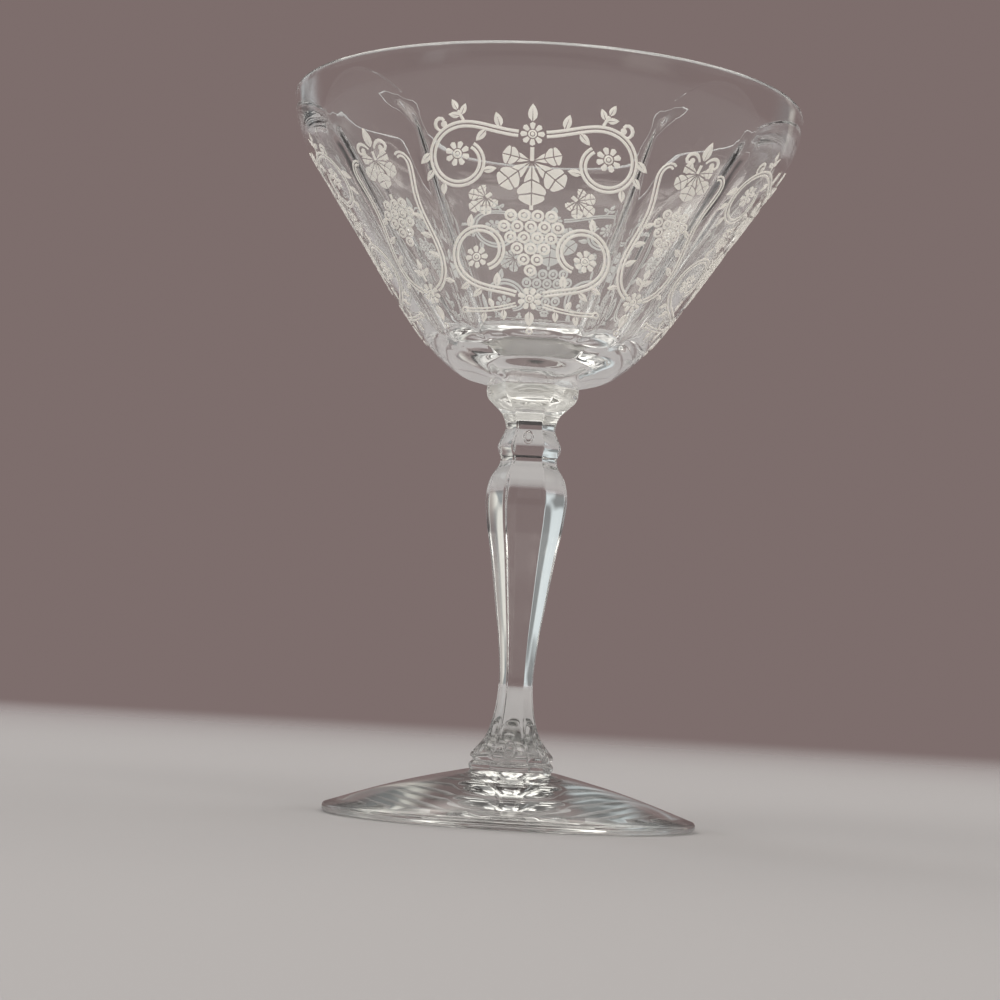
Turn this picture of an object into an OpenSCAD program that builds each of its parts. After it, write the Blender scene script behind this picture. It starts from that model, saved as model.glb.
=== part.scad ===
// Coupe glass: a blown bowl on a pressed six-sided stem and a round cast-on foot.
// Millimetres, +Z up. The origin is on the table, under the middle of the foot.
// The front of the glass faces -Y: a wide panel of the bowl and a flat of the stem point that way.

/* [Overall] */
// Height from the table to the top of the rim
glass_h = 155; // [140:1:175]

/* [Bowl] */
// Diameter across the outside of the rim
rim_d = 111.2; // [100:0.2:124]
// Height of the bowl, from the top of the stem to the rim
bowl_h = 61.5; // [54:0.5:70]
// Thickness of the wall in the plain band at the rim
rim_t = 1.9; // [1.4:0.1:2.4]
// Thickness of the wall at the top of the panels, measured level
panel_t = 2.7; // [2.5:0.1:3]
// Thickness of the wall lower down, measured level
wall_t = 3.9; // [3:0.1:4.6]
// Solid glass under the floor of the bowl
base_t = 9.2; // [7:0.1:11]

/* [Panels inside the bowl] */
// Angle that each of the four wide panels spans
wide_angle = 62.5; // [55:0.5:68]
// Plain band above the middle of a wide panel
wide_band = 3; // [2:0.1:5]
// Plain band above the middle of a narrow panel
narrow_band = 2.2; // [2:0.1:5]
// Plain band above the ridges between the panels
ridge_band = 8; // [6:0.1:12]
// How far the ridges stand in from the middle of a panel
ridge_t = 0.6; // [0:0.1:1]

/* [Stem] */
// Width of the petal skirt at the foot
skirt_d = 19.4; // [17:0.2:20]
// Width of the narrow neck above the skirt
neck_d = 7.5; // [6.5:0.1:9]
// Width of the shaft at its widest
belly_d = 17.6; // [15:0.1:19]
// Width of the collar above the shaft
knop_d = 13.8; // [12.5:0.1:15]
// Width of the throat between the collar and the cup
throat_d = 10.8; // [9:0.1:12]
// Width of the cup that carries the bowl
cup_d = 20; // [18:0.1:20]
// How far the flats of the stem are hollowed, as a share of its width
flat_hollow = 0.015; // [0:0.005:0.03]

/* [Foot] */
// Diameter of the foot
foot_d = 80; // [70:1:90]
// Height of the foot at the stem
foot_h = 10.6; // [9:0.1:12]
// Diameter of the rounded edge, seen from the side
edge_t = 2.2; // [1.8:0.1:3]
// Height of the hollow under the foot
hollow_h = 6; // [3:0.1:6.5]
// Width of the flat ring that the glass stands on
ring_w = 2; // [1:0.1:3]

/* [Hidden] */

glass_colour = [0.87, 0.92, 0.92, 0.55];
front = -90;
rim_r = rim_d / 2;
bowl_z = glass_h - bowl_h;
stem_h = bowl_z - foot_h;
joint_r = cup_d / 2;

// Outside of the bowl: share of the way from the joint to the rim, then share of the bowl's height
bowl_outline = [
    [0, 0],
    [0.1, 0.02],
    [0.215, 0.076],
    [0.311, 0.145],
    [0.417, 0.246],
    [0.634, 0.485],
    [0.838, 0.71],
    [0.93, 0.815],
    [0.978, 0.902],
    [1, 1],
];

// Floor of the bowl and the turn of its wall: share of the turn's radius, then height above the floor
turn_r = 23;
turn_h = 4.5;
floor_outline = [
    [0, 0],
    [0.5, 0.03],
    [0.78, 0.22],
    [0.93, 0.6],
    [1, 1],
];

// Outline of the stem over its corners: height on a stem 83 mm tall, then radius
drawn_stem_h = 83;
stem_outline = [
    [0, skirt_d / 2 - 0.2],
    [0.9, skirt_d / 2],
    [1.9, skirt_d / 2 - 0.2],
    [2.9, skirt_d / 2 - 1.05],
    [6.1, skirt_d * 0.35],
    [10.6, neck_d * 0.655],
    [17, neck_d / 2],
    [27.9, neck_d * 0.58],
    [36.6, neck_d * 0.745],
    [47.4, belly_d * 0.411],
    [54, belly_d * 0.478],
    [59.3, belly_d / 2],
    [62.7, belly_d * 0.463],
    [66.8, knop_d * 0.442],
    [67.4, knop_d * 0.442],
    [69.5, knop_d / 2],
    [71.6, knop_d * 0.45],
    [73.5, throat_d / 2],
    [76.8, throat_d * 0.58],
    [78.9, cup_d * 0.415],
    [80.4, cup_d * 0.483],
    [82, cup_d / 2],
    [83, cup_d / 2],
];

// The skirt's petals end in arches that climb the flats
petal_top = 11;
petal_side = 4;
petal_blend = 3.5;
petal_notch = 0.11;

// How far the cone of the foot swells above a straight line
slope_swell = 0.6;

wide_steps = 10;
narrow_steps = 5;
flat_steps = 6;
curve_steps = 3;
wall_rings = 14;
step_drop = 0.5;

function mix(a, b, t) = a + (b - a) * t;

function ease(t) = let (s = min(max(t, 0), 1)) s * s * (3 - 2 * s);

// Slope of a smooth curve at point i, from the points on both sides of it
function tangent(points, i) =
    let (
        last = len(points) - 1,
        before = i > 0 ? points[i] - points[i - 1] : points[1] - points[0],
        after = i < last ? points[i + 1] - points[i] : points[last] - points[last - 1],
        a = norm(before),
        b = norm(after)
    )
    (before * b / a + after * a / b) / (a + b);

// Smooth curve through the points, with a number of steps between neighbours
function curve(points, steps) = [
    for (i = [0 : len(points) - 2])
        let (
            from = points[i],
            to = points[i + 1],
            reach = norm(to - from),
            out = tangent(points, i) * reach,
            in = tangent(points, i + 1) * reach
        )
        for (k = [0 : steps - 1])
            let (t = k / steps, t2 = t * t, t3 = t2 * t)
            from * (2 * t3 - 3 * t2 + 1) + out * (t3 - 2 * t2 + t)
                + to * (3 * t2 - 2 * t3) + in * (t3 - t2),
    points[len(points) - 1],
];

// Closed solid through a stack of rings that all have the same number of points
module skin(rings) {
    count = len(rings[0]);
    last = len(rings) - 1;
    points = [for (ring = rings) each ring];
    sides = [
        for (j = [0 : last - 1], i = [0 : count - 1])
            let (
                next = (i + 1) % count,
                a = j * count + i,
                b = j * count + next,
                c = (j + 1) * count + next,
                d = (j + 1) * count + i
            )
            each [[a, d, c], [a, c, b]],
    ];
    bottom = [for (i = [0 : count - 1]) i];
    top = [for (i = [0 : count - 1]) last * count + count - 1 - i];
    polyhedron(points = points, faces = concat([bottom], sides, [top]), convexity = 6);
}

function at(angle, r, z) = [r * cos(angle), r * sin(angle), z];

// One entry for each step round the bowl: angle, place across the panel from -1 to 1, and plain band
bowl_steps = [
    for (quarter = [0 : 3])
        each [
            for (i = [0 : wide_steps - 1])
                let (u = 2 * i / wide_steps - 1)
                [
                    front + 90 * quarter + u * wide_angle / 2,
                    u,
                    mix(wide_band, ridge_band, pow(abs(u), 3)),
                ],
            for (i = [0 : narrow_steps - 1])
                let (u = 2 * i / narrow_steps - 1)
                [
                    front + 90 * quarter + 45 + u * (90 - wide_angle) / 2,
                    u,
                    mix(narrow_band, ridge_band, pow(abs(u), 2)),
                ],
        ],
];

bowl_curve = curve(
    [for (p = bowl_outline) [mix(joint_r, rim_r, p[0]), bowl_z + p[1] * bowl_h]],
    curve_steps
);
outside_table = [for (p = bowl_curve) [p[1], p[0]]];
floor_z = bowl_z + base_t;
turn_z = floor_z + turn_h;
floor_curve = curve(
    [for (p = floor_outline) [p[0] * turn_r, floor_z + p[1] * turn_h]],
    curve_steps
);

function outside_r(z) = lookup(z, outside_table);

// The wall thickens down the panels, and again to meet the turn
thicken_h = 0.33 * bowl_h;
turn_extra = outside_r(turn_z) - wall_t - turn_r;

function wall_at(z) =
    mix(panel_t, wall_t, ease((glass_h - z) / thicken_h))
    + turn_extra * (1 - ease((z - turn_z) / thicken_h));

function panel_r(z) = outside_r(z) - wall_at(z);

function ridge(u, share) = ridge_t * pow(abs(u), 3) * share;

module bowl() {
    lip_z = glass_h - rim_t / 2;
    outside = [for (p = bowl_curve) if (p[1] < lip_z) [for (s = bowl_steps) at(s[0], p[0], p[1])]];
    lip_r = outside_r(lip_z) - rim_t / 2;
    lip = [
        for (turn = [0 : 30 : 180])
            [for (s = bowl_steps) at(s[0], lip_r + rim_t / 2 * cos(turn), lip_z + rim_t / 2 * sin(turn))],
    ];
    band = [
        for (share = [0.5, 1])
            [
                for (s = bowl_steps)
                    let (z = mix(lip_z, glass_h - s[2], share))
                    at(s[0], outside_r(z) - rim_t, z),
            ],
    ];
    wall = [
        for (k = [0 : wall_rings - 1])
            [
                for (s = bowl_steps)
                    let (z = mix(glass_h - s[2] - step_drop, turn_z, k / wall_rings))
                    at(s[0], panel_r(z) - ridge(s[1], 1), z),
            ],
    ];
    last = len(floor_curve) - 1;
    turned = [
        for (k = [0 : last - 2])
            let (p = floor_curve[last - k])
            [for (s = bowl_steps) at(s[0], p[0] - ridge(s[1], 1 - k / (last - 2)), p[1])],
    ];
    color(glass_colour) skin(concat(outside, lip, band, wall, turned));
}

// Radius of the stem for a corner radius r, at place u across a flat and drawn height h
function stem_r(r, u, h) =
    let (
        flat = cos(30) / cos(30 * u) - flat_hollow * (1 - u * u),
        petal = 1 - petal_notch * (1 - cos(90 * u)),
        arch = mix(petal_top, petal_side, u * u),
        share = ease((arch - h) / petal_blend)
    )
    r * mix(flat, petal, share);

module stem() {
    rings = [
        for (p = curve(stem_outline, curve_steps))
            [
                for (side = [0 : 5], i = [0 : flat_steps - 1])
                    let (u = 2 * i / flat_steps - 1)
                    at(
                        front + 60 * side + 30 * u,
                        stem_r(p[1], u, p[0]),
                        foot_h + p[0] * stem_h / drawn_stem_h
                    ),
            ],
    ];
    color(glass_colour) skin(rings);
}

module foot() {
    foot_r = foot_d / 2;
    edge_r = edge_t / 2;
    ring_out = foot_r - edge_r;
    ring_in = ring_out - ring_w;
    slope_run = ring_out - skirt_d / 2;
    hollow = [for (share = [0 : 0.1 : 1]) [ring_in * share, hollow_h * (1 - share * share)]];
    edge = [
        for (turn = [-90 : 30 : 60])
            [ring_out + edge_r * cos(turn), edge_r + edge_r * sin(turn)],
    ];
    slope = [
        for (share = [0.1 : 0.1 : 0.9])
            [ring_out - slope_run * share, mix(edge_t, foot_h, share) + slope_swell * sin(180 * share)],
    ];
    color(glass_colour)
        rotate_extrude($fn = 180)
            polygon(concat(hollow, edge, slope, [[skirt_d / 2, foot_h], [0, foot_h]]));
}

bowl();
stem();
foot();
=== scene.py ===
"""Looks of the coupe glass: clear blown and pressed glass on a pale studio floor."""

from math import atan2, ceil, cos, degrees, exp, hypot, pi, radians, sin, tan

import bmesh
import bpy
from mathutils import Matrix, Vector


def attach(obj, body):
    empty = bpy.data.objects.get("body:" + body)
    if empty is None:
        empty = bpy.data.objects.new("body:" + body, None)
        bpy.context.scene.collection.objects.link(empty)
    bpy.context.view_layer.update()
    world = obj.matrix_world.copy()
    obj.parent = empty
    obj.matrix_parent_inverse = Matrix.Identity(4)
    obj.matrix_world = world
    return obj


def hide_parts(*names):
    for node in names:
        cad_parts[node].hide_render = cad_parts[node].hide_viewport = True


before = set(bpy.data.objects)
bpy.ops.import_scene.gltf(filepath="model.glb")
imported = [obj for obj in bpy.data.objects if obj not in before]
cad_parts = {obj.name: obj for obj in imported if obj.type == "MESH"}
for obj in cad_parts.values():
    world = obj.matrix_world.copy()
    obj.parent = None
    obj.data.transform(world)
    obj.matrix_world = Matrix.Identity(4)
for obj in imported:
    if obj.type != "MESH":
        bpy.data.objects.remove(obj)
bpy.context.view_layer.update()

MM = 0.001
STEPS = 288
STEP = radians(360 / STEPS)
FRONT = radians(-90)
SIDES = 6
FLAT_STEPS = STEPS // SIDES
HALF_FLAT = pi / SIDES
# Half the side of a grid that is one unit wide
HALF_GRID = 0.5
MERGE_DISTANCE = 1e-6


# Camera: same height, distance and tilt as in the photograph

CAMERA_DISTANCE = 515 * MM
CAMERA_HEIGHT = 26.6 * MM
CAMERA_TURN = radians(3.5)
AIM_OFFSET = -5.7 * MM
PITCH = radians(4.67)
ROLL = radians(3.37)
FOCAL_PIXELS = 2388
PICTURE_PIXELS = 1000
SENSOR_MM = 36
CLIP_RANGE = (0.01, 50)


def make_camera():
    data = bpy.data.cameras.new("studio_camera")
    data.sensor_width = SENSOR_MM
    data.lens = SENSOR_MM * FOCAL_PIXELS / PICTURE_PIXELS
    data.clip_start, data.clip_end = CLIP_RANGE
    camera = bpy.data.objects.new("studio_camera", data)
    bpy.context.collection.objects.link(camera)
    bpy.context.scene.camera = camera
    yaw = atan2(AIM_OFFSET, CAMERA_DISTANCE)
    camera.location = (
        CAMERA_DISTANCE * sin(CAMERA_TURN),
        -CAMERA_DISTANCE * cos(CAMERA_TURN),
        CAMERA_HEIGHT,
    )
    level = Matrix.Rotation(CAMERA_TURN - yaw, 4, "Z") @ Matrix.Rotation(pi / 2, 4, "X")
    tilt = Matrix.Rotation(PITCH, 4, "X") @ Matrix.Rotation(ROLL, 4, "Z")
    camera.rotation_euler = (level @ tilt).to_euler()


# Curves shared by the pieces


def mix(a, b, t):
    return a + (b - a) * t


def ease(t):
    t = min(max(t, 0), 1)
    return t * t * (3 - 2 * t)


def smooth_line(points, steps):
    """Smooth curve through points of a drawing, with a number of steps between neighbours."""
    points = [Vector(p) for p in points]
    last = len(points) - 1

    def slope(i):
        before = points[i] - points[i - 1] if i > 0 else points[1] - points[0]
        after = points[i + 1] - points[i] if i < last else points[last] - points[last - 1]
        a, b = before.length, after.length
        return (before * b / a + after * a / b) / (a + b)

    line = []
    for i in range(last):
        reach = (points[i + 1] - points[i]).length
        leave, arrive = slope(i) * reach, slope(i + 1) * reach
        for k in range(steps):
            t = k / steps
            line.append(
                points[i] * (2 * t**3 - 3 * t**2 + 1)
                + leave * (t**3 - 2 * t**2 + t)
                + points[i + 1] * (3 * t**2 - 2 * t**3)
                + arrive * (t**3 - t**2)
            )
    return line + [points[last]]


def look_up(line, key):
    """Value of a rising table of (key, value) pairs."""
    if key <= line[0][0]:
        return line[0][1]
    for (k0, v0), (k1, v1) in zip(line, line[1:]):
        if key <= k1:
            return mix(v0, v1, (key - k0) / (k1 - k0))
    return line[-1][1]


def turn_shell(name, columns, fused_rows, slot_materials, node):
    """Closed shell of revolution whose outline may change from step to step.

    columns gives (radius, height) for each step round and each row, in millimetres.
    fused_rows are pairs of rows between which the piece is joined to its neighbour.
    """
    rows = len(columns[0])
    bm = bmesh.new()
    bmesh.ops.create_grid(bm, x_segments=STEPS, y_segments=rows - 1, size=HALF_GRID)
    for face in bm.faces:
        face.smooth = True
        row = (face.calc_center_median().y + HALF_GRID) * (rows - 1)
        for slot, (first, last) in enumerate(fused_rows, 1):
            if first < row < last:
                face.material_index = slot
    for v in bm.verts:
        step = round((v.co.x + HALF_GRID) * STEPS)
        r, z = columns[step % STEPS][round((v.co.y + HALF_GRID) * (rows - 1))]
        angle = FRONT + step * STEP
        v.co = Vector((r * cos(angle), r * sin(angle), z)) * MM
    bmesh.ops.remove_doubles(bm, verts=bm.verts, dist=MERGE_DISTANCE)
    bmesh.ops.recalc_face_normals(bm, faces=bm.faces)
    piece = finish_piece(bm, name, slot_materials)
    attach(piece, "root")
    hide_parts(node)


def finish_piece(bm, name, materials):
    mesh = bpy.data.meshes.new(name)
    bm.to_mesh(mesh)
    bm.free()
    piece = bpy.data.objects.new(name, mesh)
    bpy.context.collection.objects.link(piece)
    for material in materials:
        mesh.materials.append(material)
    return piece


# Stem: six flats that swell from a narrow neck, over a skirt of six petals

STEM_LOW = 10.6
STEM_HIGH = 93.5
DRAWN_STEM = 83
# Height on the drawn stem, then radius over the corners
STEM_OUTLINE = [
    (0, 9.3), (0.35, 9.62), (0.95, 9.72), (1.45, 9.6), (1.8, 9.2), (2.1, 8.95), (2.5, 9.0),
    (3.1, 8.95), (4.5, 7.95), (6.4, 6.4), (8.1, 5.5), (10.6, 4.7), (17, 3.75),
    (27.9, 4.35), (36.6, 5.59), (47.4, 7.23), (54, 8.41), (59.3, 8.8), (62.7, 8.15),
    (66.8, 6.1), (67.4, 6.1), (69.5, 6.9), (71.6, 6.21), (73.5, 5.4), (76.8, 6.26),
    (78.9, 8.3), (80.4, 9.66), (82, 10), (83, 10),
]
OUTLINE_STEPS = 16
# Rows up the stem, closer at both ends: where a stretch starts and ends, and how many it has
STEM_ROWS = [(0, 12, 76), (12, 65, 53), (65, DRAWN_STEM, 108)]
EDGE_SHARPNESS = 64
FLAT_HOLLOW = 0.018
PETAL_TOP, PETAL_SIDE = 10.9, 3
PETAL_SQUARENESS = 8
PETAL_BLEND = 1.3
PETAL_NOTCH = 0.18
# Pressed rings: height, half width, half height, and 1 for every flat or 2 for every second
RINGS = [(71.6, 0.95, 1.0, 2), (4.4, 1.25, 1.45, 1)]
RING_DEPTH = 0.5
RING_LINE = 0.38
# Rows of the flat disc where two pieces are joined, as shares of its radius
DISC_SHARES = [0, 0.4, 0.75]


def six_sided(step):
    """Share of the corner radius for a hexagon with soft edges, and the place across a flat."""
    angle = step * STEP
    total = sum(
        max(0, cos(angle - 2 * side * HALF_FLAT)) ** EDGE_SHARPNESS for side in range(SIDES)
    )
    corner = 2 * cos(HALF_FLAT) ** EDGE_SHARPNESS
    across = 2 * (step % FLAT_STEPS) / FLAT_STEPS
    u = across if across <= 1 else across - 2
    return (corner / total) ** (1 / EDGE_SHARPNESS) - FLAT_HOLLOW * (1 - u * u), u


def ring_groove(step, across, h):
    """Depth of the pressed rings at a distance across a flat and a height on the drawn stem."""
    depth = 0
    side = (step + FLAT_STEPS // 2) // FLAT_STEPS
    for middle, wide, tall, every in RINGS:
        away = abs(hypot(across / wide, (h - middle) / tall) - 1) * wide / RING_LINE
        if side % every == 0:
            depth += RING_DEPTH * (1 - ease(away))
    return depth


def stem_radius(r, step, h):
    """Radius at one step round and a height on the drawn stem, where the corners reach r."""
    flat, u = six_sided(step)
    petal = 1 - PETAL_NOTCH * (1 - cos(pi / 2 * u))
    arch = mix(PETAL_TOP, PETAL_SIDE, u**PETAL_SQUARENESS)
    share = mix(flat, petal, ease((arch - h) / PETAL_BLEND))
    return r * share - ring_groove(step, r * sin(u * HALF_FLAT), h)


def make_stem(materials):
    drawn = smooth_line(STEM_OUTLINE, OUTLINE_STEPS)
    heights = [mix(low, high, k / count) for low, high, count in STEM_ROWS for k in range(count)]
    outline = [(h, look_up(drawn, h)) for h in heights + [DRAWN_STEM]]
    columns = []
    for step in range(STEPS):
        wall = []
        for h, r in outline:
            z = STEM_LOW + h * (STEM_HIGH - STEM_LOW) / DRAWN_STEM
            wall.append((stem_radius(r, step, h), z))
        low = [(wall[0][0] * s, wall[0][1]) for s in DISC_SHARES]
        high = [(wall[-1][0] * s, wall[-1][1]) for s in reversed(DISC_SHARES)]
        columns.append(low + wall + high)
    rows = len(columns[0]) - 1
    disc = len(DISC_SHARES)
    turn_shell("pressed_stem", columns, [(0, disc), (rows - disc, rows)], materials, "stem")


# Foot: a cast cone, hollowed underneath, that stands on a flat ring

FOOT_RADIUS = 40
EDGE_RADIUS = 1.1
EDGE_TURN = 150
RING_WIDTH = 2
RING_OUT = FOOT_RADIUS - EDGE_RADIUS
RING_IN = RING_OUT - RING_WIDTH
HOLLOW_HEIGHT = 6
SLOPE_SWELL = 0.6
SLOPE_START = 0.06
SKIRT_RADIUS = 9.7
HOLLOW_ROWS, EDGE_ROWS, SLOPE_ROWS = 24, 13, 27


def make_foot(materials):
    columns = []
    for step in range(STEPS):
        line = []
        for k in range(HOLLOW_ROWS + 1):
            share = k / HOLLOW_ROWS
            line.append((RING_IN * share, HOLLOW_HEIGHT * (1 - share**2)))
        line.append(((RING_IN + RING_OUT) / 2, 0))
        for k in range(EDGE_ROWS + 1):
            angle = radians(-90 + EDGE_TURN * k / EDGE_ROWS)
            line.append((RING_OUT + EDGE_RADIUS * cos(angle), EDGE_RADIUS * (1 + sin(angle))))
        for k in range(1, SLOPE_ROWS + 1):
            share = mix(SLOPE_START, 1, k / SLOPE_ROWS)
            z = mix(2 * EDGE_RADIUS, STEM_LOW, share) + SLOPE_SWELL * sin(pi * share)
            line.append((mix(RING_OUT, SKIRT_RADIUS, share), z))
        joint = stem_radius(STEM_OUTLINE[0][1], step, 0)
        line += [(joint * s, STEM_LOW) for s in [1] + DISC_SHARES[::-1]]
        columns.append(line)
    rows = len(columns[0]) - 1
    turn_shell("cast_foot", columns, [(rows - len(DISC_SHARES), rows)], materials, "foot")


# Bowl: smooth outside, four wide and four narrow panels inside

RIM_HEIGHT = 155
RIM_RADIUS = 55.6
JOINT_RADIUS = 10
BOWL_HEIGHT = RIM_HEIGHT - STEM_HIGH
RIM_WALL = 1.9
BAND_TAPER = 0.05
PANEL_WALL = 2.7
LOWER_WALL = 3.9
# Share of the way from the joint to the rim, then share of the bowl's height
BOWL_OUTLINE = [
    (0, 0), (0.1, 0.02), (0.215, 0.076), (0.311, 0.145), (0.417, 0.246), (0.634, 0.485),
    (0.838, 0.71), (0.93, 0.815), (0.978, 0.902), (1, 1),
]
OUTSIDE = smooth_line(
    [(STEM_HIGH + h * BOWL_HEIGHT, mix(JOINT_RADIUS, RIM_RADIUS, r)) for r, h in BOWL_OUTLINE],
    steps=6,
)
BASE_WALL = 9.2
FLOOR_HEIGHT = STEM_HIGH + BASE_WALL
TURN_RADIUS = 23
TURN_HEIGHT = 4.5
TURN_AT = FLOOR_HEIGHT + TURN_HEIGHT
THICKEN = 0.33 * BOWL_HEIGHT
# Share of the turn's radius, then share of its height
FLOOR_OUTLINE = [(0, 0), (0.5, 0.03), (0.78, 0.22), (0.93, 0.6), (1, 1)]
INSIDE_FLOOR = smooth_line(
    [(TURN_RADIUS * r, FLOOR_HEIGHT + TURN_HEIGHT * h) for r, h in FLOOR_OUTLINE], steps=5
)
WIDE_STEPS, NARROW_STEPS = 50, 22
WIDE_BAND, NARROW_BAND, RIDGE_BAND = 3, 2.2, 8
LEDGE = 0.16
LEDGE_HEIGHT = 0.9
SWELL_HEIGHT = 5.5
RIDGE_HEIGHT = 1.15
RIDGE_WIDTH = 1.2
FLUTE_DEPTH = 0.3
HEX_BLEND = 2.4
LIP_ROWS, BAND_ROWS, LEDGE_ROWS, WALL_ROWS = 10, 4, 8, 40
# The outside stops this far below the round of the lip
LIP_GAP = 0.3
# Rows round the middle of the floor that have no ridges
PLAIN_ROWS = 3


def outside_radius(z):
    return look_up(OUTSIDE, z)


TURN_EXTRA = outside_radius(TURN_AT) - LOWER_WALL - TURN_RADIUS


def panel_radius(z):
    """Inside radius in the middle of a panel."""
    wall = mix(PANEL_WALL, LOWER_WALL, ease((RIM_HEIGHT - z) / THICKEN))
    return outside_radius(z) - wall - TURN_EXTRA * (1 - ease((z - TURN_AT) / THICKEN))


def band_radius(z):
    """Inside radius of the plain band under the rim."""
    return outside_radius(z) - RIM_WALL - (RIM_HEIGHT - z) * BAND_TAPER


def panel_place(step):
    """Place across the panel, from -1 to 1, the panel's steps, and the band above it."""
    k = (step + WIDE_STEPS // 2) % (WIDE_STEPS + NARROW_STEPS)
    if k <= WIDE_STEPS:
        u = 2 * k / WIDE_STEPS - 1
        return u, WIDE_STEPS, mix(WIDE_BAND, RIDGE_BAND, abs(u) ** 3)
    u = 2 * (k - WIDE_STEPS) / NARROW_STEPS - 1
    return u, NARROW_STEPS, mix(NARROW_BAND, RIDGE_BAND, u * u)


def ridge(u, steps, r):
    """How far a ridge and the flutes beside it stand in from the middle of the panel."""
    away = (1 - abs(u)) * steps / 2 * STEP * r
    return RIDGE_HEIGHT * exp(-((away / RIDGE_WIDTH) ** 2)) + FLUTE_DEPTH * u * u


def bowl_column(step):
    """Outline of the bowl at one step round, from the joint over the lip to the inside floor."""
    u, steps, band = panel_place(step)
    lip_z = RIM_HEIGHT - RIM_WALL / 2
    hexagon = six_sided(step)[0]
    outside = []
    for z, r in OUTSIDE:
        if z < lip_z - LIP_GAP:
            share = 1 - ease((z - STEM_HIGH) / HEX_BLEND)
            outside.append((r * mix(1, hexagon, share), z))
    base = [(outside[0][0] * s, STEM_HIGH) for s in DISC_SHARES]
    lip_r = outside_radius(lip_z) - RIM_WALL / 2
    lip = []
    for k in range(LIP_ROWS + 1):
        angle = pi * k / LIP_ROWS
        lip.append((lip_r + RIM_WALL / 2 * cos(angle), lip_z + RIM_WALL / 2 * sin(angle)))
    ledge_top = RIM_HEIGHT - band
    ledge_low = ledge_top - LEDGE_HEIGHT
    inside = []
    for k in range(1, BAND_ROWS):
        z = mix(lip_z, ledge_top, k / BAND_ROWS)
        inside.append((band_radius(z), z))
    for k in range(LEDGE_ROWS + 1):
        z = ledge_top - LEDGE_HEIGHT * k / LEDGE_ROWS
        inside.append((band_radius(z) - LEDGE * ease(k / LEDGE_ROWS), z))
    for k in range(1, WALL_ROWS):
        z = mix(ledge_low, TURN_AT, k / WALL_ROWS)
        share = ease((ledge_low - z) / SWELL_HEIGHT)
        r_wall = panel_radius(z)
        panel = r_wall - ridge(u, steps, r_wall)
        inside.append((mix(band_radius(z) - LEDGE, panel, share), z))
    turned = []
    last = len(INSIDE_FLOOR) - 1
    for k in range(last + 1):
        r, z = INSIDE_FLOOR[last - k]
        share = ease(1 - k / (last - PLAIN_ROWS))
        turned.append((max(r - ridge(u, steps, TURN_RADIUS) * share, 0), z))
    return base + outside + lip + inside + turned


def make_bowl(materials):
    columns = [bowl_column(step) for step in range(STEPS)]
    turn_shell("blown_bowl", columns, [(0, len(DISC_SHARES))], materials, "bowl")


# Etched frieze: a grapevine drawn flat, in millimetres, then laid on the bowl

MOTIFS = ["vines", "tendrils", "leaves", "sprigs", "grapes", "rosettes"]
RELIEF = 0.13
PLATE = 0.08
PROUD = 0.09
FRIEZE_LOW = 101.5
FLAT_MERGE = 1e-4
# Faces that point down more than this are the inner faces of the plates
INNER_FACE = -0.3
# More than the corners of any mesh of the frieze
MOST_CORNERS = 10**5
SLOPE_REACH = 0.5
FINE_GAP = 0.26
SHOOT_GAP = 0.05
VINE_STEP = 0.7
FEWEST_STEPS = 6
STRAIGHT = [0, 0]
TAPER = 3
VINE = 1.6
TENDRIL = 0.82
TENDRIL_ENDS = {"start": 0.6, "end": 0.8}
BUD = 0.85
RING_STEPS, BERRY_STEPS, DOT_STEPS = 12, 10, 7
LOBE_GRID, SMALL_LEAF_GRID, PETAL_GRID = (4, 2), (5, 1), (5, 2)
RING_EDGE = 0.3
# Grapes: radius, gap, rows as a share of the pitch, and the ring's hole and the dot as shares
GRAPE = 1.32
GRAPE_GAP = 0.12
GRAPE_ROW = 0.87
GRAPE_HOLE, GRAPE_DOT = 0.56, 0.36
GRAPE_STALK, GRAPE_DROP = 1, 2.2
BERRY_HOLE = 0.55
# Lobes of a leaf: turn from its middle, then length and girth as shares
LOBES = [(0, 1, 0.34), (51, 0.88, 0.34), (-51, 0.88, 0.34), (104, 0.64, 0.38), (-104, 0.64, 0.38)]
# The glass stays clear between the strips of a lobe, along its veins
LOBE_STRIPS = [(0.0, 0.4), (0.44, 0.7), (0.74, 1.0)]
LOBE_SPREAD = tan(radians(25.5))
LOBE_FULLNESS = 3.5
LOBE_TIP = 0.8
LOBE_WAVE = (0.84, 0.24)
LOBE_EDGE = 0.25
LOBE_DOME = (0.15, 0.85)
VEIN_SLANT = 0.2
LEAF_STALK = 0.3
SMALL_LEAF_GIRTH = 0.25
SMALL_LEAF_TIP = 0.8
# Leaves of a sprig: how far up its stalk, how far aside and how far turned
SPRIG_STALK = 0.8
SPRIG_LEAVES = [(1.1, 0, 0), (0.55, 0.26, 52), (0.55, -0.26, -52)]
# Rosette: its parts as shares of its size
ROSETTE_PETALS = 8
ROSETTE_DOT = 0.16
ROSETTE_RING = (0.36, 0.23)
ROSETTE_START = 0.44
ROSETTE_GIRTH = 0.29
ROSETTE_WAIST = 0.45
ROSETTE_DOME = 0.7
FLOWER_REACH = 1.02


def patch(bm, along, across, place):
    """Small plate of a few faces. place gives x, y and height for a share along and across."""
    made = bmesh.ops.create_grid(bm, x_segments=along, y_segments=across, size=HALF_GRID)
    for v in made["verts"]:
        v.co = place(v.co.x + HALF_GRID, v.co.y + HALF_GRID)


def heading_vector(angle):
    return Vector((cos(radians(angle)), sin(radians(angle))))


def spot(at, along, across, height=0):
    """Point of a motif that sits at x, y and points at an angle in degrees."""
    x, y, angle = at
    point = Vector((x, y)) + heading_vector(angle) * along + heading_vector(angle + 90) * across
    return Vector((point.x, point.y, height))


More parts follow.
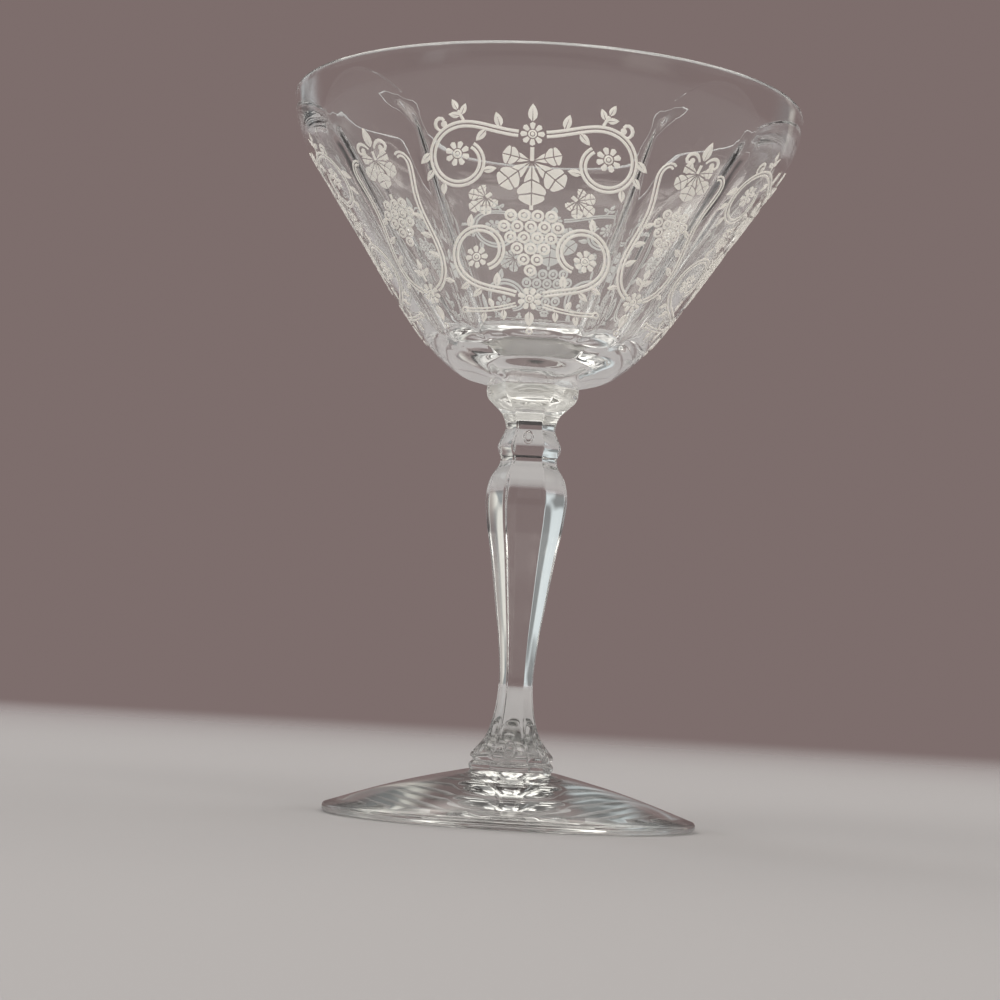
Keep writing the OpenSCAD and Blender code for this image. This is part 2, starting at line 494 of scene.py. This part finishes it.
def moved(at, along, aside=0, turn=0):
    """Place and angle further along a motif, for what grows there."""
    point = spot(at, along, aside)
    return point.x, point.y, at[2] + turn


def sweep(x, y, heading, length, bends):
    """Path that starts at x, y and turns by bends, in degrees a millimetre, evenly spaced."""
    count = max(FEWEST_STEPS, ceil(length / VINE_STEP))
    path = [Vector((x, y))]
    for k in range(count):
        place = k / count * (len(bends) - 1)
        bend = mix(bends[int(place)], bends[min(int(place) + 1, len(bends) - 1)], place % 1)
        heading += bend * length / count
        path.append(path[-1] + heading_vector(heading) * length / count)
    return path


def stroke(bm, path, width, start=1, end=1, aside=0):
    """Domed line along a path. start and end are shares of its width at its ends."""
    last = len(path) - 1

    def place(s, t):
        i = round(s * last)
        ahead = path[min(i + 1, last)] - path[max(i - 1, 0)]
        sideways = Vector((-ahead.y, ahead.x)).normalized()
        share = mix(start, 1, ease(s * TAPER)) if s < 0.5 else mix(end, 1, ease((1 - s) * TAPER))
        point = path[i] + sideways * (aside + (t - 0.5) * width * share)
        return Vector((point.x, point.y, RELIEF * (1 - (2 * t - 1) ** 2)))

    patch(bm, last, 2, place)


def ring(bm, at, outer, inner, steps):
    """Ring, or a domed dot when inner is 0."""
    if inner:

        def place(s, t):
            r, angle = mix(outer, inner, t), 2 * pi * s
            return spot(at, r * cos(angle), r * sin(angle), RELIEF * mix(RING_EDGE, 1, t))

        patch(bm, steps, 1, place)
        return
    made = bmesh.ops.create_circle(bm, cap_ends=True, cap_tris=True, segments=steps, radius=outer)
    for v in made["verts"]:
        v.co = spot(at, v.co.x, v.co.y, RELIEF if v.co.length < outer / 2 else 0)


def draw_leaf(bm, at, size):
    for turn, reach, girth in LOBES:
        lobe = (at[0], at[1], at[2] + turn)
        length = size * reach
        start = FINE_GAP / length / LOBE_SPREAD
        for side in (-1, 1):
            for low, high in LOBE_STRIPS:

                def place(s, t):
                    share = mix(max(low, start), high, s)
                    wide = LOBE_FULLNESS * girth * length * share * (1 - share) ** LOBE_TIP
                    wide = min(wide, share * length * LOBE_SPREAD - FINE_GAP / 2)
                    wide *= LOBE_WAVE[0] + LOBE_WAVE[1] * sin(pi * s)
                    along = share * length + VEIN_SLANT * length * t * (1 - share) * share**0.5
                    lift = RELIEF * mix(LOBE_EDGE, 1, sin(pi * mix(*LOBE_DOME, t)))
                    return spot(lobe, along, side * (FINE_GAP / 2 + t * wide), lift)

                patch(bm, *LOBE_GRID, place)


def draw_small_leaf(bm, at, size):
    """Pointed leaf with a clear midrib."""
    for side in (-1, 1):

        def place(s, t):
            wide = 0
            if 0 < s < 1:
                wide = SMALL_LEAF_GIRTH * size * sin(pi * s**SMALL_LEAF_TIP) ** SMALL_LEAF_TIP
            across = side * (FINE_GAP / 2 * (1 - s) + t * wide)
            return spot(at, s * size, across, RELIEF * (1 - t))

        patch(bm, *SMALL_LEAF_GRID, place)


def draw_grapes(bm, at, rows, radius):
    """Bunch that hangs along an angle. Each grape is a ring round a dot."""
    pitch = 2 * radius + GRAPE_GAP
    for row, count in enumerate(rows):
        for k in range(count):
            grape = moved(at, row * pitch * GRAPE_ROW, (k - (count - 1) / 2) * pitch)
            ring(bm, grape, radius, radius * GRAPE_HOLE, RING_STEPS)
            ring(bm, grape, radius * GRAPE_DOT, 0, DOT_STEPS)


def draw_rosette(bm, at, size):
    """Open flower of petals round a dot and a ring."""
    outer, inner = ROSETTE_RING
    ring(bm, at, size * ROSETTE_DOT, 0, DOT_STEPS)
    ring(bm, at, size * outer, size * inner, RING_STEPS)
    for k in range(ROSETTE_PETALS):
        petal = (at[0], at[1], at[2] + 360 / ROSETTE_PETALS * k)

        def place(s, t):
            half = ROSETTE_GIRTH * size * mix(ROSETTE_WAIST, 1, s) * (1 - s**5) ** 0.5
            lift = RELIEF * (1 - ROSETTE_DOME * (2 * t - 1) ** 2)
            return spot(petal, size * mix(ROSETTE_START, 1, s), half * (2 * t - 1), lift)

        patch(bm, *PETAL_GRID, place)


def draw_tendril(sheet, hand, at, length, bends):
    """Fine curled line that ends in a bud."""
    path = sweep(*at, length, [bend * hand for bend in bends])
    stroke(sheet["tendrils"], path[:-1], TENDRIL, **TENDRIL_ENDS)
    ring(sheet["tendrils"], (*path[-1], 0), TENDRIL * BUD, 0, BERRY_STEPS)


def draw_sprig(sheet, at, size):
    """Stalk with three small leaves."""
    stroke(sheet["tendrils"], sweep(*at, size, STRAIGHT), TENDRIL * SPRIG_STALK)
    for reach, aside, turn in SPRIG_LEAVES:
        draw_small_leaf(sheet["sprigs"], moved(at, size * reach, aside, turn), size)


def draw_shoot(sheet, hand, at, kind, size, *rest):
    if kind == "leaf":
        stroke(sheet["tendrils"], sweep(*at, size * LEAF_STALK, STRAIGHT), TENDRIL)
        draw_leaf(sheet["leaves"], moved(at, size * LEAF_STALK), size)
    elif kind == "small leaf":
        draw_small_leaf(sheet["sprigs"], at, size)
    elif kind == "sprig":
        draw_sprig(sheet, at, size)
    elif kind == "tendril":
        draw_tendril(sheet, hand, at, size, rest[0])
    elif kind == "grapes":
        stroke(sheet["tendrils"], sweep(*at, GRAPE_STALK, STRAIGHT), TENDRIL)
        draw_grapes(sheet["grapes"], moved(at, GRAPE_DROP), rest[0], size)
    elif kind == "rosette":
        draw_rosette(sheet["rosettes"], at, size)
    elif kind == "flower":
        draw_rosette(sheet["rosettes"], moved(at, size * FLOWER_REACH), size)
    elif kind == "berry":
        ring(sheet["rosettes"], at, size, size * BERRY_HOLE, BERRY_STEPS)


def draw_vine(sheet, hand, x, y, heading, length, bends, width, shoots):
    """Vine of two fine lines, with what grows from it at a share of its length and at a turn."""
    heading = 90 + (heading - 90) * hand
    path = sweep(x * hand, y, heading, length, [bend * hand for bend in bends])
    line = (width - FINE_GAP) / 2
    for side in (-1, 1):
        stroke(sheet["vines"], path, line, aside=side * (line + FINE_GAP) / 2)
    for share, turn, *values in shoots:
        i = min(round(share * (len(path) - 1)), len(path) - 2)
        ahead = path[i + 1] - path[i]
        angle = degrees(atan2(ahead.y, ahead.x)) + turn * hand
        start = path[i + (share == 1)] + heading_vector(angle) * (width / 2 + SHOOT_GAP)
        draw_shoot(sheet, hand, (start.x, start.y, angle), *values)


# Each panel: what stands on its middle line, then the vines on both sides of it

WIDE_MIDDLE = [
    ((0, 41.6, -90), "leaf", 9.6),
    ((0, 29.2, -90), "grapes", GRAPE, [4, 5, 4, 3, 2, 1]),
    ((0, 44.4, 0), "rosette", 2.5),
    ((0, 47.1, 90), "small leaf", 3.6),
    ((0, 8.6, 22.5), "rosette", 2.6),
    ((0, 5.6, -90), "small leaf", 3.6),
    ((0, 0.9, 0), "berry", 0.8),
    ((8.2, 31.6, -38), "leaf", 4.4),
    ((-8.2, 31.6, 218), "leaf", 4.4),
]
WIDE_VINES = [
    (2.8, 44.4, 4, 43, [3, 0, -7, -9.2, -9.2, -10.2, -13, -15], VINE, [
        (0.08, 60, "small leaf", 3.2),
        (0.15, -62, "small leaf", 3.0),
        (0.26, 62, "sprig", 2.4),
        (0.37, 45, "tendril", 5.5, [30, 50, 75]),
        (0.48, 42, "small leaf", 3.2),
        (0.57, 58, "small leaf", 2.6),
        (0.65, 58, "small leaf", 2.6),
        (0.86, 58, "small leaf", 2.8),
        (1.0, -62, "flower", 2.7),
    ]),
    (2.8, 9.6, 20, 38.5, [-4, 2, 6.8, 9.2, 10.6, 11.6, 13, 16], VINE, [
        (0.10, 80, "small leaf", 3.0),
        (0.18, -60, "small leaf", 2.6),
        (0.26, -58, "small leaf", 2.4),
        (0.62, -62, "small leaf", 2.8),
        (1.0, 62, "flower", 2.5),
    ]),
    (2.8, 7.2, -20, 10.9, [2.4, 2.4], VINE * 0.7, [
        (0.25, -80, "small leaf", 2.4),
        (0.45, 72, "small leaf", 2.2),
        (0.65, -80, "small leaf", 2.4),
        (1.0, 0, "berry", 0.85),
    ]),
]
NARROW_MIDDLE = [
    ((0, 42.6, -90), "leaf", 6.4),
    ((0, 33.0, -90), "grapes", GRAPE * 0.88, [3, 4, 3, 2, 1]),
    ((0, 43.6, 90), "small leaf", 4.2),
    ((0, 10.4, 22.5), "rosette", 2.4),
    ((0, 7.5, -90), "small leaf", 3.6),
    ((0, 2.8, 0), "berry", 0.75),
    ((0, 13.2, 90), "sprig", 2.5),
    ((0.9, 43.2, 58), "tendril", 7, [-8, -42, -85]),
    ((-0.9, 43.2, 122), "tendril", 7, [8, 42, 85]),
]
NARROW_VINES = [
    (2.4, 11.2, 22, 34, [8, 6, 3, -1.5, -3.5, 2, 52], VINE * 0.85, [
        (0.10, -66, "small leaf", 2.2),
        (0.24, 62, "small leaf", 2.6),
        (0.38, 62, "small leaf", 2.6),
        (0.52, 55, "small leaf", 2.4),
    ]),
]


def face_order(face):
    """Number that puts the faces in the same order each run, by their lowest corners."""
    low, middle, high = sorted(v.index for v in face.verts)[:3]
    return (low * MOST_CORNERS + middle) * MOST_CORNERS + high


def flat_panel(middle, vines):
    """One panel of the frieze as thin closed plates lying flat, a mesh for each kind of motif."""
    sheet = {kind: bmesh.new() for kind in MOTIFS}
    for at, *values in middle:
        draw_shoot(sheet, 1, at, *values)
    for vine in vines:
        for hand in (-1, 1):
            draw_vine(sheet, hand, *vine)
    flat = {}
    for kind, bm in sheet.items():
        bmesh.ops.remove_doubles(bm, verts=bm.verts, dist=FLAT_MERGE)
        bmesh.ops.dissolve_degenerate(bm, edges=bm.edges, dist=FLAT_MERGE)
        bm.normal_update()
        bmesh.ops.reverse_faces(bm, faces=[f for f in bm.faces if f.normal.z < 0])
        bmesh.ops.solidify(bm, geom=bm.faces, thickness=PLATE)
        bm.normal_update()
        for face in bm.faces:
            face.material_index = int(face.normal.z < INNER_FACE)
        bm.verts.index_update()
        bm.faces.sort(key=face_order)
        flat[kind] = bpy.data.meshes.new(kind)
        bm.to_mesh(flat[kind])
        bm.free()
    return flat


def slope_of_bowl():
    """Distance up the outside of the bowl from the foot of the frieze, with radius and height."""
    line, gone = [], 0
    for (z0, r0), (z1, r1) in zip(OUTSIDE, OUTSIDE[1:]):
        line.append((gone, Vector((r0, z0))))
        gone += hypot(r1 - r0, z1 - z0)
    low = look_up([(p.y, y) for y, p in line], FRIEZE_LOW)
    return [(y - low, p) for y, p in line]


def make_frieze(materials):
    slope = slope_of_bowl()
    wide, narrow = flat_panel(WIDE_MIDDLE, WIDE_VINES), flat_panel(NARROW_MIDDLE, NARROW_VINES)
    for kind in MOTIFS:
        bm = bmesh.new()
        for quarter in range(4):
            for turn, flat in ((0, wide), (45, narrow)):
                laid = len(bm.verts)
                bm.from_mesh(flat[kind])
                bm.verts.ensure_lookup_table()
                for v in bm.verts[laid:]:
                    x, y, height = v.co
                    p = look_up(slope, y)
                    up = look_up(slope, y + SLOPE_REACH) - look_up(slope, y - SLOPE_REACH)
                    up.normalize()
                    r, z = p.x + up.y * (height + PROUD), p.y - up.x * (height + PROUD)
                    angle = FRONT + radians(turn + 90 * quarter) + x / p.x
                    v.co = Vector((r * cos(angle), r * sin(angle), z)) * MM
        piece = finish_piece(bm, "etched_" + kind, materials)
        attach(piece, "root")


# Materials

GLASS_IOR = 1.52
RIPPLE_DETAIL = 1.5
# Name, colour, and the scale, stretch, strength and depth of the ripples in the surface
BLOWN = ("blown clear glass", (0.985, 0.995, 0.995), 22, (1, 1, 0.5), 0.12, 0.4 * MM)
PRESSED = ("pressed clear glass", (0.985, 0.995, 0.993), 90, (1, 1, 0.4), 0.12, 0.2 * MM)
CAST = ("cast clear glass", (0.985, 0.998, 0.985), 26, (1, 1, 1), 0.1, 0.3 * MM)
# Name, share of the light that the clear part lets through, and share that is milky
# The first joint is a grey sheet that passes only 0.8 of the light: painted shade that dims the
# bright images seen through the seam
SHADED_JOINT = ("fused joint with painted shade", 0.8, 0)
MILKY_JOINT = ("milky fused joint", 1, 0.45)
MILK = (1, 0.985, 0.95)
FROST = (0.98, 0.935, 0.875)
FROST_GLOW = (1, 0.985, 0.95)
FROST_DEPTH = 0.55
FROST_ROUGHNESS = 0.7
# Grey of the inner faces of the frost: painted shade that dims the frieze seen from inside the
# bowl
FROST_BACK_PAINTED_SHADE = (0.7, 0.7, 0.7)
GRAIN_SCALE, GRAIN_DETAIL = 1400, 3
GRAIN_DARKEST = 0.86
GRAIN_STRENGTH = 0.3
GRAIN_HEIGHT = 0.05 * MM


def new_material(name):
    material = bpy.data.materials.new(name)
    material.use_nodes = True
    nodes = material.node_tree.nodes
    return material, nodes, material.node_tree.links, nodes["Principled BSDF"]


def object_noise(nodes, links, scale, detail, stretch=(1, 1, 1)):
    place = nodes.new("ShaderNodeTexCoord")
    mapping = nodes.new("ShaderNodeMapping")
    mapping.inputs["Scale"].default_value = stretch
    noise = nodes.new("ShaderNodeTexNoise")
    noise.inputs["Scale"].default_value = scale
    noise.inputs["Detail"].default_value = detail
    links.new(place.outputs["Object"], mapping.inputs["Vector"])
    links.new(mapping.outputs["Vector"], noise.inputs["Vector"])
    return noise


def add_bump(nodes, links, shader, height, strength, distance):
    bump = nodes.new("ShaderNodeBump")
    bump.inputs["Strength"].default_value = strength
    bump.inputs["Distance"].default_value = distance
    links.new(height, bump.inputs["Height"])
    links.new(bump.outputs["Normal"], shader.inputs["Normal"])


def coloured_shader(nodes, kind, colour):
    shader = nodes.new(kind)
    shader.inputs["Color"].default_value = (*colour, 1)
    return shader


def blend_shaders(nodes, links, first, second):
    """Puts a blend of two shaders on the surface. Its Fac is still to be set or linked."""
    blend = nodes.new("ShaderNodeMixShader")
    links.new(first.outputs["BSDF"], blend.inputs[1])
    links.new(second.outputs["BSDF"], blend.inputs[2])
    links.new(blend.outputs["Shader"], nodes["Material Output"].inputs["Surface"])
    return blend.inputs["Fac"]


def clear_glass(name, colour, scale, stretch, strength, distance):
    material, nodes, links, shader = new_material(name)
    shader.inputs["Base Color"].default_value = (*colour, 1)
    shader.inputs["Roughness"].default_value = 0
    shader.inputs["IOR"].default_value = GLASS_IOR
    shader.inputs["Transmission Weight"].default_value = 1
    ripples = object_noise(nodes, links, scale, RIPPLE_DETAIL, stretch)
    add_bump(nodes, links, shader, ripples.outputs["Fac"], strength, distance)
    return material


def fused_joint(name, clearness, milkiness):
    """Seam inside the glass, where two pieces are melted together: a little milky, or a grey
    see-through sheet whose dimming is painted shade on the bright images seen through it.
    """
    material, nodes, links, shader = new_material(name)
    nodes.remove(shader)
    clear = coloured_shader(nodes, "ShaderNodeBsdfTransparent", (clearness,) * 3)
    milk = coloured_shader(nodes, "ShaderNodeBsdfTranslucent", MILK)
    blend_shaders(nodes, links, clear, milk).default_value = milkiness
    return material


def etched_frost():
    """Milky acid-etched glass, which glows with the light that falls through the wall."""
    material, nodes, links, shader = new_material("etched frost")
    grain = object_noise(nodes, links, GRAIN_SCALE, GRAIN_DETAIL)
    tone = nodes.new("ShaderNodeMapRange")
    tone.inputs["To Min"].default_value = GRAIN_DARKEST
    tone.inputs["To Max"].default_value = 1
    colour = nodes.new("ShaderNodeMix")
    colour.data_type = "RGBA"
    colour.blend_type = "MULTIPLY"
    colour.inputs["Factor"].default_value = 1
    colour.inputs["A"].default_value = (*FROST, 1)
    links.new(grain.outputs["Fac"], tone.inputs["Value"])
    links.new(tone.outputs["Result"], colour.inputs["B"])
    links.new(colour.outputs["Result"], shader.inputs["Base Color"])
    shader.inputs["Roughness"].default_value = FROST_ROUGHNESS
    glow = coloured_shader(nodes, "ShaderNodeBsdfTranslucent", FROST_GLOW)
    blend_shaders(nodes, links, shader, glow).default_value = FROST_DEPTH
    add_bump(nodes, links, shader, grain.outputs["Fac"], GRAIN_STRENGTH, GRAIN_HEIGHT)
    return material


def frost_back_painted_shade():
    """Inner face of the frost, against the wall: a grey see-through sheet, painted shade that
    dims the frieze where it is seen from inside the bowl, and the glow that comes through it.
    """
    material, nodes, links, shader = new_material("frost back painted shade")
    nodes.remove(shader)
    dim = coloured_shader(nodes, "ShaderNodeBsdfTransparent", FROST_BACK_PAINTED_SHADE)
    links.new(dim.outputs["BSDF"], nodes["Material Output"].inputs["Surface"])
    return material


# Studio: pale floor that fades into an even backdrop

BACKDROP = (0.205, 0.155, 0.15)
FLOOR_COLOUR = (0.42, 0.406, 0.414)
FLOOR_ROUGHNESS = 0.9
FLOOR_SHINE = 0.1
FLOOR_RADIUS = 2.5
FLOOR_SIDES = 96
FLOOR_FADE = (0.25, 1.6)
FLOOR_DROP = 0.05 * MM
MOST_BOUNCES = 32
# Name, place, size, watts and colour. The lamps light the glass but leave no hard image in it.
SOFTBOXES = [
    ("left_softbox", (-0.9, -1.35, 0.17), (0.8, 0.3), 19, (1, 0.985, 0.96)),
    ("right_softbox", (1.0, -1.25, 0.17), (0.8, 0.3), 18, (1, 0.98, 0.94)),
    ("left_back_softbox", (-1.15, 1.1, 0.17), (0.8, 0.3), 17, (0.98, 0.99, 1)),
    ("right_back_softbox", (1.15, 1.1, 0.17), (0.8, 0.3), 17, (1, 0.985, 0.96)),
]
LAMP_TARGET = (0, 0, 0.08)

# Room that the glass shows: dark front and band, soft strips at the sides, light ceiling

DARK_FRONT = (0.03, 0.028, 0.028)
DARK_BAND = (0.04, 0.035, 0.035)
COOL_STRIP = (0.72, 0.78, 0.79)
WARM_STRIP = (0.8, 0.78, 0.71)
DIM_STRIP = (0.24, 0.25, 0.25)
CEILING = (2.3, 2.22, 2.05)
DIM_CEILING = (0.55, 0.54, 0.52)
ZENITH = (0.9, 0.87, 0.82)
# Where each blends in, by how far a direction points away, up or across
FRONT_FADE = (-0.6, -0.2)
BAND_START = (0.27, 0.34)
STRIP_INNER, STRIP_OUTER = (0.5, 0.62), (0.74, 0.88)
STRIP_LOW, STRIP_HIGH = (-0.12, 0.02), (0.3, 0.55)
COOL_TO_WARM = (-0.3, 0.3)
CEILING_START = (0.54, 0.62)
ZENITH_START = (0.86, 0.93)
# Broad patches that dim parts of the strips and the ceiling
PATCH_SCALE = 3.4
PATCH_EDGE = (0.45, 0.58)


def smooth_range(nodes, links, value, low, high, to_low=0, to_high=1):
    ramp = nodes.new("ShaderNodeMapRange")
    ramp.interpolation_type = "SMOOTHSTEP"
    ramp.inputs["From Min"].default_value = low
    ramp.inputs["From Max"].default_value = high
    ramp.inputs["To Min"].default_value = to_low
    ramp.inputs["To Max"].default_value = to_high
    links.new(value, ramp.inputs["Value"])
    return ramp.outputs["Result"]


def calculate(nodes, links, operation, a, b=None):
    step = nodes.new("ShaderNodeMath")
    step.operation = operation
    links.new(a, step.inputs[0])
    if b is not None:
        links.new(b, step.inputs[1])
    return step.outputs["Value"]


def blend_colours(nodes, links, factor, a, b):
    """Blend of two colours, each a fixed one or the output of a node."""
    blend = nodes.new("ShaderNodeMix")
    blend.data_type = "RGBA"
    links.new(factor, blend.inputs["Factor"])
    for socket, value in (("A", a), ("B", b)):
        if isinstance(value, tuple):
            blend.inputs[socket].default_value = (*value, 1)
        else:
            links.new(value, blend.inputs[socket])
    return blend.outputs["Result"]


def make_floor():
    bm = bmesh.new()
    bmesh.ops.create_circle(bm, cap_ends=True, segments=FLOOR_SIDES, radius=FLOOR_RADIUS)
    material, nodes, links, shader = new_material("studio floor")
    floor = finish_piece(bm, "studio_floor", [material])
    floor.location.z = -FLOOR_DROP
    shader.inputs["Base Color"].default_value = (*FLOOR_COLOUR, 1)
    shader.inputs["Roughness"].default_value = FLOOR_ROUGHNESS
    shader.inputs["Specular IOR Level"].default_value = FLOOR_SHINE
    place = nodes.new("ShaderNodeTexCoord")
    distance = nodes.new("ShaderNodeVectorMath")
    distance.operation = "LENGTH"
    links.new(place.outputs["Object"], distance.inputs[0])
    fade = smooth_range(nodes, links, distance.outputs["Value"], *FLOOR_FADE)
    clear = nodes.new("ShaderNodeBsdfTransparent")
    links.new(fade, blend_shaders(nodes, links, shader, clear))


def make_room():
    """Light of the room by direction. The camera itself sees an even backdrop."""
    world = bpy.data.worlds.new("studio")
    bpy.context.scene.world = world
    world.use_nodes = True
    nodes, links = world.node_tree.nodes, world.node_tree.links

    def rise(value, edge):
        return smooth_range(nodes, links, value, *edge)

    def fall(value, edge):
        return smooth_range(nodes, links, value, *edge, 1, 0)

    def times(a, b):
        return calculate(nodes, links, "MULTIPLY", a, b)

    def blend(factor, a, b):
        return blend_colours(nodes, links, factor, a, b)

    direction = nodes.new("ShaderNodeTexCoord")
    split = nodes.new("ShaderNodeSeparateXYZ")
    links.new(direction.outputs["Generated"], split.inputs["Vector"])
    across, away, up = (split.outputs[axis] for axis in "XYZ")
    patches = nodes.new("ShaderNodeTexNoise")
    patches.inputs["Scale"].default_value = PATCH_SCALE
    patches.inputs["Detail"].default_value = 1
    links.new(direction.outputs["Generated"], patches.inputs["Vector"])
    lit = rise(patches.outputs["Fac"], PATCH_EDGE)

    colour = blend(fall(away, FRONT_FADE), BACKDROP, DARK_FRONT)
    colour = blend(rise(up, BAND_START), colour, DARK_BAND)
    aside = calculate(nodes, links, "ABSOLUTE", across)
    strip = times(rise(aside, STRIP_INNER), fall(aside, STRIP_OUTER))
    strip = times(strip, times(rise(up, STRIP_LOW), fall(up, STRIP_HIGH)))
    lit_strip = blend(rise(across, COOL_TO_WARM), COOL_STRIP, WARM_STRIP)
    colour = blend(strip, colour, blend(lit, DIM_STRIP, lit_strip))
    colour = blend(rise(up, CEILING_START), colour, blend(lit, DIM_CEILING, CEILING))
    colour = blend(rise(up, ZENITH_START), colour, ZENITH)
    path = nodes.new("ShaderNodeLightPath")
    colour = blend(path.outputs["Is Camera Ray"], colour, BACKDROP)
    links.new(colour, nodes["Background"].inputs["Color"])


def add_lamp(name, place, size, watts, colour):
    data = bpy.data.lights.new(name, "AREA")
    data.shape = "RECTANGLE"
    data.size, data.size_y = size
    data.energy = watts
    data.color = colour
    lamp = bpy.data.objects.new(name, data)
    lamp.location = place
    lamp.visible_glossy = False
    lamp.visible_transmission = False
    lamp.rotation_euler = (Vector(place) - Vector(LAMP_TARGET)).to_track_quat("Z", "Y").to_euler()
    bpy.context.collection.objects.link(lamp)


def make_studio():
    scene = bpy.context.scene
    scene.view_settings.view_transform = "Standard"
    scene.cycles.max_bounces = MOST_BOUNCES
    scene.cycles.glossy_bounces = MOST_BOUNCES
    scene.cycles.transmission_bounces = MOST_BOUNCES
    scene.cycles.transparent_max_bounces = MOST_BOUNCES
    make_floor()
    make_room()
    for softbox in SOFTBOXES:
        add_lamp(*softbox)


make_camera()
make_studio()
shaded_joint, milky_joint = fused_joint(*SHADED_JOINT), fused_joint(*MILKY_JOINT)
make_bowl([clear_glass(*BLOWN), milky_joint])
make_stem([clear_glass(*PRESSED), shaded_joint, milky_joint])
make_foot([clear_glass(*CAST), shaded_joint])
make_frieze([etched_frost(), frost_back_painted_shade()])
